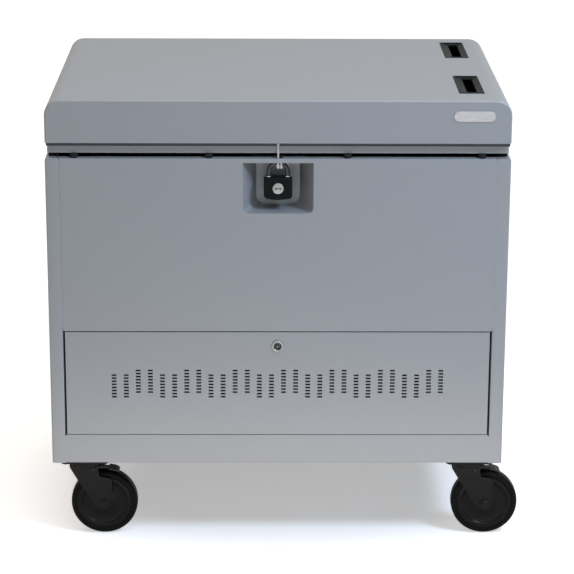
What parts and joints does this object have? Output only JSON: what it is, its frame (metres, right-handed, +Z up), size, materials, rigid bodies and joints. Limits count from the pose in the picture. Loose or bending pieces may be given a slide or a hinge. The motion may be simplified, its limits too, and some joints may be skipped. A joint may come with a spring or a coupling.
{
  "type": "laptop charging cart",
  "caption": "Sheet-steel laptop charging cart on swivel casters, with a padlocked lid over slotted device racks and a slotted drop-down door over the power adapters.",
  "frame": {"origin": "on the floor, under the middle of the box round the whole cart; the cabinet's own middle is 18.75 mm to -X of it, because the front casters trail to +X", "axes": "+X along the front to the right as seen from the front, +Y from the front to the back, +Z up"},
  "size_m": [0.8834, 0.6202, 0.8575],
  "materials": {
    "coat": "fine-textured silver-grey powder coat",
    "galvanised": "zinc plated",
    "black_plastic": "moulded, lightly grained",
    "wheel": "hard black rubber",
    "bumper": "matt",
    "black_steel": "black coated",
    "chrome": "polished",
    "lock_cover": "matt cover"
  },
  "bodies": {
    "cabinet": {"side_panel_left": "coat", "side_panel_right": "coat", "base_pan": "coat", "rear_panel": "coat", "mid_shelf": "coat", "upper_front_panel": "coat", "lock_recess": "coat", "hasp_staple": "galvanised", "lid_bumper_1": "bumper", "lid_bumper_2": "bumper", "lid_bumper_3": "bumper", "lid_bumper_4": "bumper", "hinge_leaf_body_left": "galvanised", "hinge_leaf_body_right": "galvanised", "hinge_pin_left": "galvanised", "hinge_pin_right": "galvanised", "door_pivot_left": "galvanised", "door_pivot_right": "galvanised", "divider_rack_front": "black_plastic", "divider_rack_rear": "black_plastic", "outlet_strip_front": "black_plastic", "outlet_strip_rear": "black_plastic", "power_controller": "galvanised", "power_inlet": "black_plastic", "caster_plate_front_left": "black_steel", "caster_plate_front_right": "black_steel", "caster_plate_rear_left": "black_steel", "caster_plate_rear_right": "black_steel"},
    "lid": {"lid_shell": "coat", "lid_inner_frame": "coat", "hasp_tab": "galvanised", "handle_cup_front": "black_plastic", "handle_cup_rear": "black_plastic", "hinge_leaf_lid_left": "galvanised", "hinge_leaf_lid_right": "galvanised"},
    "lower_door": {"lower_door": "coat", "cam_lock_barrel": "chrome"},
    "cam_lock": {"cam_lock_plug": "chrome"},
    "padlock_shackle": {"padlock_shackle": "chrome"},
    "padlock_case": {"padlock_case": "lock_cover"},
    "padlock_plug": {"padlock_plug": "chrome"},
    "swivel_front_left": {"caster_fork_front_left": "black_steel", "caster_axle_front_left": "black_steel"},
    "swivel_front_right": {"caster_fork_front_right": "black_steel", "caster_axle_front_right": "black_steel"},
    "swivel_rear_left": {"caster_fork_rear_left": "black_steel", "caster_axle_rear_left": "black_steel"},
    "swivel_rear_right": {"caster_fork_rear_right": "black_steel", "caster_axle_rear_right": "black_steel"},
    "wheel_front_left": {"caster_wheel_front_left": "wheel"},
    "wheel_front_right": {"caster_wheel_front_right": "wheel"},
    "wheel_rear_left": {"caster_wheel_rear_left": "wheel"},
    "wheel_rear_right": {"caster_wheel_rear_right": "wheel"},
    "brake_front_left": {"brake_pedal_front_left": "black_plastic"},
    "brake_front_right": {"brake_pedal_front_right": "black_plastic"}
  },
  "joints": [
    {"name": "lid_hinge", "type": "hinge", "parent": "cabinet", "child": "lid", "pos_m": [-0.01875, 0.30455, 0.7642], "axis": [-1, 0, 0], "range_deg": [0, 100]},
    {"name": "lower_door_hinge", "type": "hinge", "parent": "cabinet", "child": "lower_door", "pos_m": [-0.01875, -0.30125, 0.2245], "axis": [1, 0, 0], "range_deg": [0, 95]},
    {"name": "cam_lock_turn", "type": "hinge", "parent": "lower_door", "child": "cam_lock", "pos_m": [-0.01875, -0.30725, 0.3927], "axis": [0, -1, 0], "range_deg": [0, 90]},
    {"name": "padlock_swing", "type": "hinge", "parent": "cabinet", "child": "padlock_shackle", "pos_m": [-0.01875, -0.29225, 0.7394], "axis": [-1, 0, 0], "range_deg": [-10, 55]},
    {"name": "padlock_case_drop", "type": "slide", "parent": "padlock_shackle", "child": "padlock_case", "axis": [0, 0, -1], "range_m": [0, 0.012]},
    {"name": "padlock_key_turn", "type": "hinge", "parent": "padlock_case", "child": "padlock_plug", "pos_m": [-0.01875, -0.30325, 0.69295], "axis": [0, 1, 0], "range_deg": [0, 90]},
    {"name": "swivel_front_left", "type": "hinge", "parent": "cabinet", "child": "swivel_front_left", "pos_m": [-0.38225, -0.24775, 0.15], "axis": [0, 0, 1], "continuous": true},
    {"name": "swivel_front_right", "type": "hinge", "parent": "cabinet", "child": "swivel_front_right", "pos_m": [0.34475, -0.24775, 0.15], "axis": [0, 0, 1], "continuous": true},
    {"name": "swivel_rear_left", "type": "hinge", "parent": "cabinet", "child": "swivel_rear_left", "pos_m": [-0.38225, 0.23925, 0.15], "axis": [0, 0, 1], "continuous": true},
    {"name": "swivel_rear_right", "type": "hinge", "parent": "cabinet", "child": "swivel_rear_right", "pos_m": [0.34475, 0.23925, 0.15], "axis": [0, 0, 1], "continuous": true},
    {"name": "roll_front_left", "type": "hinge", "parent": "swivel_front_left", "child": "wheel_front_left", "pos_m": [-0.34875, -0.24775, 0.0635], "axis": [0, 1, 0], "continuous": true},
    {"name": "roll_front_right", "type": "hinge", "parent": "swivel_front_right", "child": "wheel_front_right", "pos_m": [0.37825, -0.24775, 0.0635], "axis": [0, 1, 0], "continuous": true},
    {"name": "roll_rear_left", "type": "hinge", "parent": "swivel_rear_left", "child": "wheel_rear_left", "pos_m": [-0.38225, 0.20575, 0.0635], "axis": [1, 0, 0], "continuous": true},
    {"name": "roll_rear_right", "type": "hinge", "parent": "swivel_rear_right", "child": "wheel_rear_right", "pos_m": [0.34475, 0.20575, 0.0635], "axis": [1, 0, 0], "continuous": true},
    {"name": "brake_front_left", "type": "hinge", "parent": "swivel_front_left", "child": "brake_front_left", "pos_m": [-0.36825, -0.24775, 0.1315], "axis": [0, 1, 0], "range_deg": [0, 3]},
    {"name": "brake_front_right", "type": "hinge", "parent": "swivel_front_right", "child": "brake_front_right", "pos_m": [0.35875, -0.24775, 0.1315], "axis": [0, 1, 0], "range_deg": [0, 3]}
  ]
}
